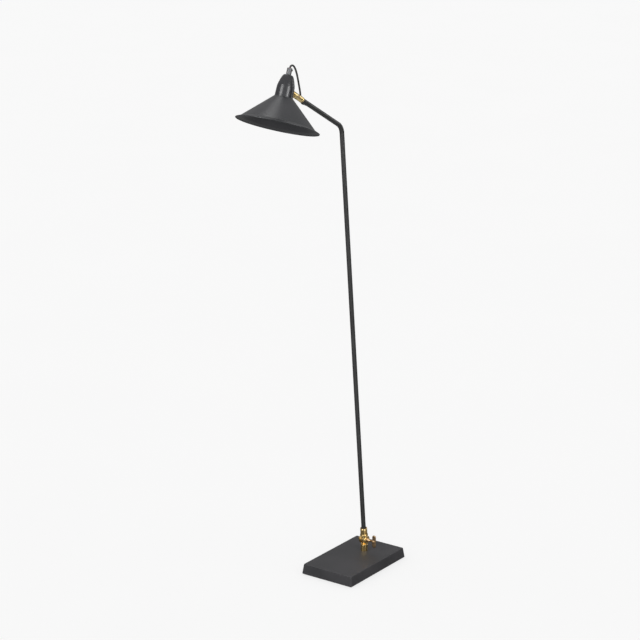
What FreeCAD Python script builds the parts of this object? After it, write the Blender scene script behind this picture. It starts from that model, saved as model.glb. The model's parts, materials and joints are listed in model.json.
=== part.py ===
"""Adjustable arm floor lamp, in millimetres.

+Z is up and the origin is the centre of the base's underside. The arm and the shade reach towards -Y,
every hinge turns about an axis along X, and the wing key stands on the +X side.
"""
import FreeCAD, Part
import math
import os

V = FreeCAD.Vector

# ---- base ----
BASE_X = 170.0              # plan size across the lamp
BASE_Y = 271.0              # plan size along the lamp
BASE_TOP_Z = 30.0
BASE_DRAFT = 3.5            # each side leans in by this much towards the top
BASE_CORNER_R = 3.0
BASE_EDGE_R = 1.2
PAD_T = 2.0                 # felt pad the lamp stands on
COVER_T = 2.0               # steel plate that closes the casting from below
POCKET_RIM = 14.0           # width of the casting's outer wall
CAST_TOP_T = 16.0           # thickness of the casting above its pocket
BOSS_R = 9.0                # posts that take the cover screws
COVER_SCREW_X = 64.5
COVER_SCREW_Y = 115.0
COVER_SCREW_R = 2.0
INLET_Z = 13.0              # height of the flex inlet in the rear wall
INLET_R = 4.5

# ---- lower joint ----
STEM_Y = 51.3               # where the column stands on the base
COLUMN_R = 10.0
COLUMN_H = 20.0
NIPPLE_R = 5.0
NIPPLE_BORE_R = 3.0
LOW_PIVOT_Z = 64.2
LOW_KNUCKLE_R = 12.0
LOW_KNUCKLE_W = 22.0        # length of the fork along the pivot
LOW_TONGUE_W = 9.0
LOW_TONGUE_R = 9.5
SLOT_GAP = 0.2              # side play of a tongue in its slot
KEY_R = 3.0
SHAFT_PLAY = 0.08
KEY_WING_X = 34.0           # middle of the wing
KEY_WING_LEN = 12.0
KEY_WING_H = 37.0
KEY_WING_T = 4.0

# ---- pole and arm ----
POLE_LEAN = 5.63            # degrees from the vertical, towards -Y
POLE_LEN = 1218.9           # pivot to the corner of the bend
ARM_RISE = 28.19            # degrees above the horizontal
ARM_LEN = 201.0             # corner of the bend to the ferrule's edge
BEND_R = 34.0
TUBE_R = 6.35
TUBE_WALL = 1.0
FERRULE_START = 12.4        # the pole's ferrule, measured from the pivot along the pole
FERRULE_END = 36.0
FERRULE_R = 10.0
FERRULE_FOOT_R = 11.4
RING_T = 2.2
SOCKET_DEPTH = 14.0         # length of tube held in each ferrule

# ---- upper joint ----
TIP_R = 7.85                # both halves of the upper hinge
TIP_FERRULE_LEN = 27.4      # ferrule's edge to the pivot
TIP_RING_T = 2.0
TIP_SCREW_R = 2.4
LAP_GAP = 0.2
LAP_CLEAR_R = 8.3           # room round the rounded end of a half lap
LAP_CHAMFER = 0.8
PIVOT_TO_AXIS = 53.6        # pivot to the head's own axis, along the arm

# ---- head, described along its own axis: s up from the rim, r out from the axis ----
HEAD_TILT = 21.06           # degrees; the shade opens down and forwards
RIM_Y = -351.2
RIM_Z = 1321.5
SHADE_T = 1.0
RIM_R = 109.7
LIP_R = 98.0
LIP_S = 5.0
SHADE_TOP_R = 25.0
SHADE_TOP_S = 73.0
SHADE_BEAD_R = 1.3
CAP_PROFILE = [(24.0, 73.0), (23.1, 93.0), (22.7, 101.0), (21.3, 108.0), (18.6, 117.0), (15.2, 126.0),
               (12.8, 129.6), (11.0, 131.2)]
CAP_T = 1.2
HOLDER_R = 17.0
HOLDER_BORE_R = 14.0
HOLDER_LOW_S = 60.0
HOLDER_TOP_S = 103.0
SHOULDER_R = 20.0
HOLDER_NECK_R = 5.0
RELIEF_R = 6.8
RELIEF_TOP_S = 149.6        # lip of the strain relief's funnel
RELIEF_MOUTH_R = 5.0
RELIEF_SCREW_S = 144.2
CORD_OUT_S = 146.0          # where the cord leaves the relief's bore
CORD_R = 2.5
GLOBE_R = 22.5              # golf-ball bulb
GLOBE_S = 38.5
BULB_CAP_R = 13.0

# ---- grommet in the arm, and the cord between it and the strain relief ----
GROMMET_AT = 173.0          # distance from the bend along the arm
GROMMET_TURN = 82.0         # degrees round the tube from straight below, towards -X
GROMMET_R = 4.5
GROMMET_HOLE_R = 3.4
GROMMET_FLANGE_T = 1.6
GROMMET_NOSE_T = 3.6        # reach of the nose from the tube's skin

STEM_TOP_Z = BASE_TOP_Z + COLUMN_H
POLE_DIR = V(0, -math.sin(math.radians(POLE_LEAN)), math.cos(math.radians(POLE_LEAN)))
ARM_DIR = V(0, -math.cos(math.radians(ARM_RISE)), math.sin(math.radians(ARM_RISE)))
ARM_BELOW = V(0, -math.sin(math.radians(ARM_RISE)), -math.cos(math.radians(ARM_RISE)))
LOW_PIVOT = V(0, STEM_Y, LOW_PIVOT_Z)
BEND = LOW_PIVOT + POLE_DIR * POLE_LEN
TUBE_TIP = BEND + ARM_DIR * ARM_LEN
TIP_PIVOT = TUBE_TIP + ARM_DIR * TIP_FERRULE_LEN
HEAD_DIR = V(0, math.sin(math.radians(HEAD_TILT)), math.cos(math.radians(HEAD_TILT)))
RIM_CENTRE = V(0, RIM_Y, RIM_Z)
GROMMET_DIR = (ARM_BELOW * math.cos(math.radians(GROMMET_TURN))
               + V(-1, 0, 0) * math.sin(math.radians(GROMMET_TURN)))
GROMMET_FOOT = BEND + ARM_DIR * GROMMET_AT
CORD_IN = GROMMET_FOOT + GROMMET_DIR * (TUBE_R + GROMMET_NOSE_T)
CORD_OUT = RIM_CENTRE + HEAD_DIR * CORD_OUT_S

# The cord rises out of the strain relief, arches back and to the far side, comes down beside the hinge
# and turns in to the grommet.
CORD_ROUTE = [CORD_OUT,
              CORD_OUT + HEAD_DIR * 4.6,
              V(-2.0, -291.0, 1465.5),
              V(-5.2, -280.2, 1465.9),
              V(-9.2, -267.8, 1461.4),
              V(-12.4, -256.4, 1451.6),
              V(-15.0, -246.4, 1436.0),
              V(-16.3, -237.6, 1412.0),
              V(-17.4, -230.6, 1391.5),
              V(-18.1, -227.2, 1376.4),
              V(-18.3, -225.4, 1366.8),
              V(-18.2, -223.6, 1361.3),
              V(-16.4, -222.4, 1358.6),
              CORD_IN + GROMMET_DIR * 3.5,
              CORD_IN]


# ---- helpers ----
def cylinder(radius, start, end):
    """A round bar between two points."""
    return Part.makeCylinder(radius, (end - start).Length, start, end - start)


def tube(outer, inner, start, end):
    """A round tube between two points."""
    reach = (end - start) * 0.02
    return cylinder(outer, start, end).cut(cylinder(inner, start - reach, end + reach))


def box(low, high):
    """An upright box from its lowest to its highest corner."""
    return Part.makeBox(high.x - low.x, high.y - low.y, high.z - low.z, low)


def lathe(points, base=V(0, 0, 0), axis=V(0, 0, 1)):
    """Turn an outline of (radius, height) points about an axis through base."""
    corners = [V(radius, 0, height) for radius, height in points]
    face = Part.Face(Part.makePolygon(corners + corners[:1]))
    solid = face.revolve(V(0, 0, 0), V(0, 0, 1), 360)
    solid.Placement = FreeCAD.Placement(base, FreeCAD.Rotation(V(0, 0, 1), axis))
    return solid


def on_head(points):
    """Turn an outline of (r, s) points about the head's axis."""
    return lathe(points, RIM_CENTRE, HEAD_DIR)


def head_point(s):
    return RIM_CENTRE + HEAD_DIR * s


def joined(shapes):
    """Fuse shapes that make one piece."""
    result = shapes[0].fuse(shapes[1:]).removeSplitter()
    return result.Solids[0] if len(result.Solids) == 1 else result


def rounded_block(size_x, size_y, low_z, high_z, corner_r, draft=0.0, edge_r=0.0):
    """A block with rounded upright corners and top edge, whose sides lean in by draft towards the top."""
    def ring(half_x, half_y, z):
        return [V(-half_x, -half_y, z), V(half_x, -half_y, z), V(half_x, half_y, z), V(-half_x, half_y, z)]

    def face(points):
        return Part.Face(Part.makePolygon(points + points[:1]))

    low = ring(size_x / 2, size_y / 2, low_z)
    high = ring(size_x / 2 - draft, size_y / 2 - draft, high_z)
    sides = [face([low[k], low[(k + 1) % 4], high[(k + 1) % 4], high[k]]) for k in range(4)]
    block = Part.Solid(Part.Shell(sides + [face(low), face(high)]))
    upright = [e for e in block.Edges if abs(e.Vertexes[0].Z - e.Vertexes[1].Z) > 0.1]
    block = block.makeFillet(corner_r, upright)
    if edge_r:
        block = block.makeFillet(edge_r, [e for e in block.Edges if e.BoundBox.ZMin > high_z - 1e-3])
    return block


def hex_nut(radius, bore, start, end):
    """A hexagonal nut; radius is half its width across flats."""
    direction = end - start
    corners = []
    for k in range(7):
        turn = math.radians(60 * k)
        reach = radius / math.cos(math.radians(30))
        corners.append(V(reach * math.cos(turn), reach * math.sin(turn), 0))
    prism = Part.Face(Part.makePolygon(corners)).extrude(V(0, 0, direction.Length))
    prism.Placement = FreeCAD.Placement(start, FreeCAD.Rotation(V(0, 0, 1), direction))
    return prism.cut(cylinder(bore, start - direction, end + direction))


def cover_screw_places():
    return [V(sx * COVER_SCREW_X, sy * COVER_SCREW_Y, 0) for sx in (-1, 1) for sy in (-1, 1)]


# ---- base ----
def base_casting():
    low_z = PAD_T + COVER_T
    body = rounded_block(BASE_X, BASE_Y, PAD_T, BASE_TOP_Z, BASE_CORNER_R, BASE_DRAFT, BASE_EDGE_R)
    recess = rounded_block(BASE_X - 2 * POCKET_RIM + 8, BASE_Y - 2 * POCKET_RIM + 8, PAD_T - 1, low_z, 4)
    pocket = rounded_block(BASE_X - 2 * POCKET_RIM, BASE_Y - 2 * POCKET_RIM, low_z - 1,
                           BASE_TOP_Z - CAST_TOP_T, 3)
    body = body.cut(recess).cut(pocket)
    posts = [cylinder(BOSS_R, place + V(0, 0, low_z), place + V(0, 0, BASE_TOP_Z - 8))
             for place in cover_screw_places()]
    rib = box(V(-BASE_X / 2 + POCKET_RIM - 1, -4, low_z), V(BASE_X / 2 - POCKET_RIM + 1, 4, BASE_TOP_Z - 8))
    body = joined([body, rib] + posts)
    for place in cover_screw_places():
        body = body.cut(cylinder(COVER_SCREW_R, place, place + V(0, 0, 16)))
    body = body.cut(cylinder(NIPPLE_R + 0.2, V(0, STEM_Y, 0), V(0, STEM_Y, BASE_TOP_Z + 5)))
    inlet = cylinder(INLET_R, V(0, BASE_Y / 2 - 30, INLET_Z - 3.5), V(0, BASE_Y / 2 + 5, INLET_Z - 3.5))
    return body.cut(inlet)


def base_cover():
    low_z = PAD_T
    plate = rounded_block(BASE_X - 2 * POCKET_RIM + 7, BASE_Y - 2 * POCKET_RIM + 7, low_z, low_z + COVER_T, 3.5)
    for place in cover_screw_places():
        plate = plate.cut(cylinder(COVER_SCREW_R + 0.3, place, place + V(0, 0, 10)))
        plate = plate.cut(Part.makeCone(4.3, 2.3, 1.6, place + V(0, 0, low_z)))
    return plate


def cover_screws():
    screws = []
    for place in cover_screw_places():
        head = Part.makeCone(4.1, COVER_SCREW_R - 0.05, 1.6, place + V(0, 0, PAD_T))
        shank = cylinder(COVER_SCREW_R - 0.05, place + V(0, 0, PAD_T + 1), place + V(0, 0, 14))
        slot = box(place + V(-5, -0.5, PAD_T - 1), place + V(5, 0.5, PAD_T + 0.8))
        screws.append(joined([head, shank]).cut(slot))
    return Part.makeCompound(screws)


def floor_pad():
    pad = rounded_block(BASE_X - 5, BASE_Y - 5, 0, PAD_T, 2.5)
    for place in cover_screw_places():
        pad = pad.cut(cylinder(5.5, place - V(0, 0, 1), place + V(0, 0, PAD_T + 1)))
    return pad


def inlet_bush():
    z = INLET_Z - 3.5
    rear = BASE_Y / 2 - BASE_DRAFT * (z - PAD_T) / (BASE_TOP_Z - PAD_T)
    body = cylinder(INLET_R - 0.05, V(0, BASE_Y / 2 - POCKET_RIM - 2, z), V(0, rear + 1.0, z))
    lip = cylinder(INLET_R + 1.5, V(0, rear + 0.8, z), V(0, rear + 2.4, z))
    return joined([body, lip]).cut(cylinder(3.2, V(0, 80, z), V(0, rear + 9, z)))


# ---- column and lower joint ----
def stem_nipple():
    foot = V(0, STEM_Y, 8)
    return tube(NIPPLE_R, NIPPLE_BORE_R, foot, V(0, STEM_Y, STEM_TOP_Z - 2))


def stem_washer():
    top_z = BASE_TOP_Z - CAST_TOP_T
    return tube(9.0, NIPPLE_R + 0.1, V(0, STEM_Y, top_z - 1.5), V(0, STEM_Y, top_z))


def stem_nut():
    top_z = BASE_TOP_Z - CAST_TOP_T - 1.5
    return hex_nut(7.5, NIPPLE_R, V(0, STEM_Y, top_z - 4.0), V(0, STEM_Y, top_z))


def column():
    outline = [(0, BASE_TOP_Z), (COLUMN_R, BASE_TOP_Z), (COLUMN_R, STEM_TOP_Z - 0.8),
               (COLUMN_R - 0.8, STEM_TOP_Z), (0, STEM_TOP_Z)]
    bar = lathe(outline, V(0, STEM_Y, 0))
    return bar.cut(cylinder(NIPPLE_R, V(0, STEM_Y, 0), V(0, STEM_Y, STEM_TOP_Z + 5)))


def fork():
    """Neck and transverse barrel with a slot for the pole's tongue."""
    half = LOW_KNUCKLE_W / 2
    barrel = cylinder(LOW_KNUCKLE_R, LOW_PIVOT - V(half, 0, 0), LOW_PIVOT + V(half, 0, 0))
    barrel = barrel.makeFillet(1.5, [e for e in barrel.Edges if abs(abs(e.CenterOfMass.x) - half) < 1e-6])
    neck = cylinder(6.0, V(0, STEM_Y, STEM_TOP_Z), V(0, STEM_Y, LOW_PIVOT_Z - LOW_KNUCKLE_R + 3))
    body = joined([barrel, neck])
    slot = LOW_TONGUE_W / 2 + SLOT_GAP
    throat = cylinder(LOW_TONGUE_R + 0.4, LOW_PIVOT - V(slot, 0, 0), LOW_PIVOT + V(slot, 0, 0))
    mouth = box(LOW_PIVOT + V(-slot, -20, -0.5), LOW_PIVOT + V(slot, 20, 20))
    bore = cylinder(KEY_R + SHAFT_PLAY, LOW_PIVOT - V(30, 0, 0), LOW_PIVOT + V(30, 0, 0))
    return body.cut(throat).cut(mouth).cut(bore)


def cap_nut():
    """Closed nut on the far side of the fork, which takes the key's thread."""
    face = LOW_PIVOT - V(LOW_KNUCKLE_W / 2, 0, 0)
    outline = [(0, 0), (5.6, 0), (5.6, 3.0), (4.6, 6.0), (2.6, 8.0), (0, 8.6)]
    nut = lathe(outline, face, V(-1, 0, 0))
    return nut.cut(cylinder(KEY_R + SHAFT_PLAY, face + V(5, 0, 0), face - V(5.5, 0, 0)))


def wing_key():
    """Clamp screw with a flat rounded wing, turned about the pivot's axis."""
    start = LOW_PIVOT - V(LOW_KNUCKLE_W / 2 + 4.5, 0, 0)
    face_x = LOW_KNUCKLE_W / 2 + 1.6
    wing_low = KEY_WING_X - KEY_WING_LEN / 2
    shank = cylinder(KEY_R, start, LOW_PIVOT + V(face_x + 1, 0, 0))
    outline = [(0, face_x), (6.0, face_x), (6.0, face_x + 2.2), (3.8, face_x + 4.0), (3.3, wing_low - 3),
               (4.2, wing_low + 1), (4.2, wing_low + KEY_WING_LEN - 3), (0, wing_low + KEY_WING_LEN - 3)]
    stem = lathe(outline, LOW_PIVOT, V(1, 0, 0))
    wing = box(LOW_PIVOT + V(wing_low, -KEY_WING_T / 2, -KEY_WING_H / 2),
               LOW_PIVOT + V(wing_low + KEY_WING_LEN, KEY_WING_T / 2, KEY_WING_H / 2))
    corners = [e for e in wing.Edges if abs(e.tangentAt(e.FirstParameter).y) > 0.9]
    wing = wing.makeFillet(5.0, corners)
    rims = [e for e in wing.Edges if abs(abs(e.CenterOfMass.y - STEM_Y) - KEY_WING_T / 2) < 1e-3]
    wing = wing.makeFillet(1.2, rims)
    return joined([shank, stem, wing])


def key_washer():
    face = LOW_PIVOT + V(LOW_KNUCKLE_W / 2, 0, 0)
    return tube(6.4, KEY_R + SHAFT_PLAY, face, face + V(1.3, 0, 0))


def pole_ferrule():
    """Tongue that turns in the fork, with the sleeve that holds the pole above it."""
    half = LOW_TONGUE_W / 2
    disc = cylinder(LOW_TONGUE_R, LOW_PIVOT - V(half, 0, 0), LOW_PIVOT + V(half, 0, 0))
    web = box(V(-half, -7.5, 0), V(half, 7.5, FERRULE_START + 1))
    web.Placement = FreeCAD.Placement(LOW_PIVOT, FreeCAD.Rotation(V(0, 0, 1), POLE_DIR))
    outline = [(0, FERRULE_START), (FERRULE_FOOT_R - 1, FERRULE_START), (FERRULE_FOOT_R, FERRULE_START + 1),
               (FERRULE_FOOT_R, FERRULE_START + 3), (FERRULE_R, FERRULE_START + 6.5),
               (FERRULE_R, FERRULE_END - 1), (FERRULE_R - 1, FERRULE_END), (0, FERRULE_END)]
    sleeve = lathe(outline, LOW_PIVOT, POLE_DIR)
    body = joined([disc, web, sleeve])
    socket = cylinder(TUBE_R, LOW_PIVOT + POLE_DIR * (FERRULE_END - SOCKET_DEPTH),
                      LOW_PIVOT + POLE_DIR * (FERRULE_END + 10))
    wire_way = cylinder(2.6, LOW_PIVOT + POLE_DIR * (FERRULE_START + 2.0),
                        LOW_PIVOT + POLE_DIR * (FERRULE_END - 5))
    bore = cylinder(KEY_R + SHAFT_PLAY, LOW_PIVOT - V(30, 0, 0), LOW_PIVOT + V(30, 0, 0))
    return body.cut(socket).cut(wire_way).cut(bore).cut(ferrule_screw_bar(TUBE_R - 1.5, FERRULE_R + 1))


def ferrule_screw_bar(inner_r, outer_r):
    """The grub screw's bar, set from behind into the sleeve, between two distances from the pole's axis."""
    seat = LOW_PIVOT + POLE_DIR * (FERRULE_END - 7)
    behind = V(1, 0, 0).cross(POLE_DIR) * -1
    return cylinder(2.0, seat + behind * inner_r, seat + behind * outer_r)


def ferrule_screw():
    seat = LOW_PIVOT + POLE_DIR * (FERRULE_END - 7)
    behind = V(1, 0, 0).cross(POLE_DIR) * -1
    slot = Part.makeBox(6, 0.7, 1.2, V(-3, -0.35, 0))
    slot.Placement = FreeCAD.Placement(seat + behind * (FERRULE_R - 1.2), FreeCAD.Rotation(V(0, 0, 1), behind))
    return ferrule_screw_bar(TUBE_R + 0.1, FERRULE_R - 0.4).cut(slot)


def pole_ring():
    start = LOW_PIVOT + POLE_DIR * FERRULE_END
    return tube(8.0, TUBE_R, start, start + POLE_DIR * RING_T)


# ---- pole, arm and grommet ----
def bent_bar(radius, low_cut, tip_cut):
    """A bar along the pole, round the bend and out along the arm."""
    turn = POLE_DIR.getAngle(ARM_DIR)
    back = BEND_R * math.tan(turn / 2)
    inward = (ARM_DIR - POLE_DIR).normalize()
    centre = BEND + inward * (BEND_R / math.cos(turn / 2))
    middle = centre - inward * BEND_R
    start = LOW_PIVOT + POLE_DIR * low_cut
    pole_end = BEND - POLE_DIR * back
    arm_start = BEND + ARM_DIR * back
    tip = TUBE_TIP + ARM_DIR * tip_cut
    path = Part.Wire([Part.LineSegment(start, pole_end).toShape(),
                      Part.Arc(pole_end, middle, arm_start).toShape(),
                      Part.LineSegment(arm_start, tip).toShape()])
    ring = Part.Wire([Part.Circle(start, POLE_DIR, radius).toShape()])
    return path.makePipeShell([ring], True, False)


def pole_tube():
    low_cut = FERRULE_END - SOCKET_DEPTH
    bar = bent_bar(TUBE_R, low_cut, SOCKET_DEPTH)
    bore = bent_bar(TUBE_R - TUBE_WALL, low_cut - 5, SOCKET_DEPTH + 5)
    hole = cylinder(GROMMET_HOLE_R, GROMMET_FOOT, GROMMET_FOOT + GROMMET_DIR * 12)
    return bar.cut(bore).cut(hole).Solids[0]


def arm_grommet():
    outline = [(CORD_R, TUBE_R - 2.2), (GROMMET_HOLE_R + 0.6, TUBE_R - 2.2), (GROMMET_HOLE_R - 0.05, TUBE_R - 1.2),
               (GROMMET_HOLE_R - 0.05, TUBE_R - 0.4), (GROMMET_R, TUBE_R - 0.4),
               (GROMMET_R, TUBE_R + GROMMET_FLANGE_T - 0.5), (GROMMET_R - 0.5, TUBE_R + GROMMET_FLANGE_T),
               (GROMMET_HOLE_R + 0.3, TUBE_R + GROMMET_FLANGE_T), (GROMMET_HOLE_R, TUBE_R + GROMMET_NOSE_T),
               (CORD_R, TUBE_R + GROMMET_NOSE_T)]
    body = lathe(outline, GROMMET_FOOT, GROMMET_DIR)
    reach = ARM_DIR * 20
    wall = tube(TUBE_R, TUBE_R - TUBE_WALL, GROMMET_FOOT - reach, GROMMET_FOOT + reach)
    hole = cylinder(GROMMET_HOLE_R, GROMMET_FOOT, GROMMET_FOOT + GROMMET_DIR * 12)
    return body.cut(wall.cut(hole)).Solids[0]


# ---- upper joint ----
def lap_frame(origin, side):
    """A block that keeps one half of the lap: side is +1 for +X or -1 for -X."""
    low_x = LAP_GAP / 2 if side > 0 else -30
    high_x = 30 if side > 0 else -LAP_GAP / 2
    return box(origin + V(low_x, -60, -60), origin + V(high_x, 60, 60))


def lap_half(shank, side):
    """Halve a round shank about the upper pivot, leaving a rounded ear on one side."""
    far = lap_frame(TIP_PIVOT, -side)
    sweep = cylinder(LAP_CLEAR_R, TIP_PIVOT - V(30, 0, 0), TIP_PIVOT + V(30, 0, 0)).common(far)
    ear = cylinder(TIP_R, TIP_PIVOT - V(30, 0, 0), TIP_PIVOT + V(30, 0, 0))
    ear = ear.common(cylinder(TIP_R, TIP_PIVOT - ARM_DIR * 30, TIP_PIVOT + ARM_DIR * 30))
    ear = ear.common(lap_frame(TIP_PIVOT, side))
    return joined([shank.cut(sweep), ear])


def arm_ferrule():
    """Sleeve on the end of the arm with the +X half of the hinge."""
    start = TUBE_TIP + ARM_DIR * TIP_RING_T
    length = TIP_FERRULE_LEN - TIP_RING_T - LAP_CLEAR_R + 1.6
    outline = [(0, 0), (TIP_R - 0.6, 0), (TIP_R, 0.6), (TIP_R, length - LAP_CHAMFER),
               (TIP_R - LAP_CHAMFER, length), (0, length)]
    shank = lathe(outline, start, ARM_DIR)
    near = cylinder(TIP_R, start + ARM_DIR * 6, TIP_PIVOT).common(lap_frame(TIP_PIVOT, 1))
    body = lap_half(joined([shank, near]), 1)
    socket = cylinder(TUBE_R, TUBE_TIP, TUBE_TIP + ARM_DIR * SOCKET_DEPTH)
    bore = cylinder(TIP_SCREW_R + SHAFT_PLAY, TIP_PIVOT - V(20, 0, 0), TIP_PIVOT + V(20, 0, 0))
    recess = cylinder(4.2, TIP_PIVOT + V(TIP_R - 2.4, 0, 0), TIP_PIVOT + V(TIP_R + 5, 0, 0))
    return body.cut(socket).cut(bore).cut(recess)


def arm_ring():
    return tube(TIP_R - 0.3, TUBE_R, TUBE_TIP, TUBE_TIP + ARM_DIR * TIP_RING_T)


def hinge_screw():
    low = TIP_PIVOT - V(TIP_R - 0.4, 0, 0)
    shank = cylinder(TIP_SCREW_R, low, TIP_PIVOT + V(TIP_R - 1, 0, 0))
    head = cylinder(4.1, TIP_PIVOT + V(TIP_R - 2.3, 0, 0), TIP_PIVOT + V(TIP_R - 0.2, 0, 0))
    slot = box(TIP_PIVOT + V(TIP_R - 1.2, -6, -0.5), TIP_PIVOT + V(TIP_R + 1, 6, 0.5))
    return joined([shank, head]).cut(slot)


def head_shank_cut():
    """The cap's outer form as one solid, to seat the shank against it."""
    return on_head([(0, CAP_PROFILE[0][1])] + CAP_PROFILE + [(0, CAP_PROFILE[-1][1])])


def head_lug():
    """Piece between the hinge and the cap, with the -X half of the hinge."""
    end = TIP_PIVOT + ARM_DIR * PIVOT_TO_AXIS
    neck = LAP_CLEAR_R - 1.6
    outline = [(0, neck), (TIP_R - LAP_CHAMFER, neck), (TIP_R, neck + LAP_CHAMFER), (TIP_R, PIVOT_TO_AXIS),
               (0, PIVOT_TO_AXIS)]
    shank = lathe(outline, TIP_PIVOT, ARM_DIR)
    near = cylinder(TIP_R, TIP_PIVOT, end - ARM_DIR * 6).common(lap_frame(TIP_PIVOT, -1))
    body = lap_half(joined([shank, near]), -1)
    bore = cylinder(TIP_SCREW_R + SHAFT_PLAY, TIP_PIVOT - V(20, 0, 0), TIP_PIVOT + V(20, 0, 0))
    stud = cylinder(2.5, TIP_PIVOT + ARM_DIR * 18, end)
    return body.cut(head_shank_cut()).cut(bore).cut(stud)


def lug_screw():
    """Screw driven into the lug from inside the cap."""
    wall = PIVOT_TO_AXIS - 23.0 + CAP_T + 0.6
    shank = cylinder(2.45, TIP_PIVOT + ARM_DIR * 19, TIP_PIVOT + ARM_DIR * (wall + 1))
    head = cylinder(4.2, TIP_PIVOT + ARM_DIR * wall, TIP_PIVOT + ARM_DIR * (wall + 2.4))
    return joined([shank, head])


# ---- head ----
def shade():
    """Spun cone with a flat collar, a flared lip and a rolled edge."""
    slope = math.atan2(SHADE_TOP_S - LIP_S, LIP_R - SHADE_TOP_R)
    along_r = SHADE_T * math.sin(slope)
    along_s = SHADE_T * math.cos(slope)
    flare = math.atan2(LIP_S, RIM_R - LIP_R)
    bead_s = SHADE_BEAD_R - SHADE_T / 2
    outline = [(HOLDER_R + 0.2, SHADE_TOP_S), (SHADE_TOP_R, SHADE_TOP_S), (LIP_R, LIP_S), (RIM_R, 0),
               (RIM_R - SHADE_T * math.sin(flare), -SHADE_T * math.cos(flare)),
               (LIP_R - along_r, LIP_S - along_s), (SHADE_TOP_R - along_r, SHADE_TOP_S - SHADE_T),
               (HOLDER_R + 0.2, SHADE_TOP_S - SHADE_T)]
    skin = on_head(outline)
    bead = Part.makeTorus(RIM_R - SHADE_BEAD_R, SHADE_BEAD_R, head_point(-bead_s), HEAD_DIR)
    return joined([skin, bead])


def socket_cap():
    """Thin bell over the lampholder."""
    inner = [(radius - CAP_T, s) for radius, s in CAP_PROFILE[:-1]]
    roof = CAP_PROFILE[-1][1] - CAP_T
    outline = CAP_PROFILE + [(HOLDER_NECK_R + 0.05, CAP_PROFILE[-1][1]), (HOLDER_NECK_R + 0.05, roof),
                             (CAP_PROFILE[-1][0] - CAP_T, roof)] + inner[::-1][1:]
    shell = on_head(outline)
    wall = TIP_PIVOT + ARM_DIR * (PIVOT_TO_AXIS - 30)
    hole = cylinder(2.6, wall, TIP_PIVOT + ARM_DIR * (PIVOT_TO_AXIS - 12))
    return shell.cut(hole)


def lampholder():
    outline = [(HOLDER_BORE_R, HOLDER_LOW_S), (HOLDER_R, HOLDER_LOW_S), (HOLDER_R, SHADE_TOP_S + 0.4),
               (SHOULDER_R - 0.2, SHADE_TOP_S + 0.4), (SHOULDER_R - 0.2, SHADE_TOP_S + 4),
               (HOLDER_R, SHADE_TOP_S + 6), (HOLDER_R, HOLDER_TOP_S - 6), (HOLDER_R - 6, HOLDER_TOP_S),
               (HOLDER_NECK_R, HOLDER_TOP_S), (HOLDER_NECK_R, HOLDER_TOP_S - 8), (HOLDER_BORE_R, HOLDER_TOP_S - 8)]
    return on_head(outline)


def shade_ring():
    low_s = SHADE_TOP_S - SHADE_T - 6.0
    high_s = SHADE_TOP_S - SHADE_T
    body = on_head([(HOLDER_R + 0.05, low_s), (20.5, low_s), (21.5, low_s + 1.5), (21.5, high_s),
                    (HOLDER_R + 0.05, high_s)])
    notches = []
    for k in range(8):
        turn = FreeCAD.Rotation(HEAD_DIR, 45 * k)
        notches.append(cylinder(1.4, head_point(low_s - 2) + turn.multVec(V(21.6, 0, 0)),
                                head_point(high_s - 1.2) + turn.multVec(V(21.6, 0, 0))))
    return body.cut(Part.makeCompound(notches))


def screw_shell():
    return tube(HOLDER_BORE_R - 0.05, HOLDER_BORE_R - 0.6, head_point(HOLDER_LOW_S + 3), head_point(94.4))


def centre_contact():
    disc = cylinder(6.0, head_point(94.2), head_point(95.0))
    bump = Part.makeCone(1.5, 4.0, 2.6, head_point(91.8), HEAD_DIR)
    return joined([disc, bump])


def cap_nipple():
    return tube(HOLDER_NECK_R - 0.05, 2.8, head_point(HOLDER_TOP_S - 6), head_point(137.0))


def nipple_nut():
    seat = CAP_PROFILE[-1][1] - CAP_T
    return hex_nut(7.0, HOLDER_NECK_R - 0.05, head_point(seat - 3.2), head_point(seat))


def strain_relief():
    low_s = CAP_PROFILE[-1][1]
    outline = [(HOLDER_NECK_R, low_s), (RELIEF_R, low_s), (RELIEF_R, RELIEF_TOP_S - 1.0),
               (RELIEF_R - 1.0, RELIEF_TOP_S), (RELIEF_MOUTH_R, RELIEF_TOP_S), (CORD_R + 0.5, CORD_OUT_S),
               (CORD_R, CORD_OUT_S), (CORD_R, 138.0), (HOLDER_NECK_R, 138.0)]
    return on_head(outline).cut(relief_screw_bar(RELIEF_R + 2))


def relief_screw_bar(reach):
    seat = head_point(RELIEF_SCREW_S)
    side = V(1, 0, 0)
    return cylinder(1.5, seat + side * (CORD_R + 0.1), seat + side * reach)


def relief_screw():
    seat = head_point(RELIEF_SCREW_S)
    head = cylinder(2.4, seat + V(RELIEF_R, 0, 0), seat + V(RELIEF_R + 2.4, 0, 0))
    slot = box(seat + V(RELIEF_R + 1.4, -4, -0.35), seat + V(RELIEF_R + 5, 4, 0.35))
    return joined([relief_screw_bar(RELIEF_R + 1), head]).cut(slot)


def bulb_cap():
    outline = [(0, 66.0), (BULB_CAP_R - 0.6, 66.0), (BULB_CAP_R, 67.0), (BULB_CAP_R, 84.0), (9.0, 88.0),
               (4.6, 88.6), (4.6, 91.6), (0, 91.6)]
    return on_head(outline)


def bulb_globe():
    """Round envelope with a short neck, open inside."""
    neck_r = 11.0
    neck_s = GLOBE_S + math.sqrt(GLOBE_R ** 2 - neck_r ** 2)
    ball = Part.makeSphere(GLOBE_R, head_point(GLOBE_S))
    neck = cylinder(neck_r, head_point(neck_s - 2), head_point(66.0))
    inside = Part.makeSphere(GLOBE_R - 1.0, head_point(GLOBE_S))
    inside_neck = cylinder(neck_r - 1.0, head_point(neck_s - 2), head_point(65.0))
    return joined([ball, neck]).cut(joined([inside, inside_neck]))


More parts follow.
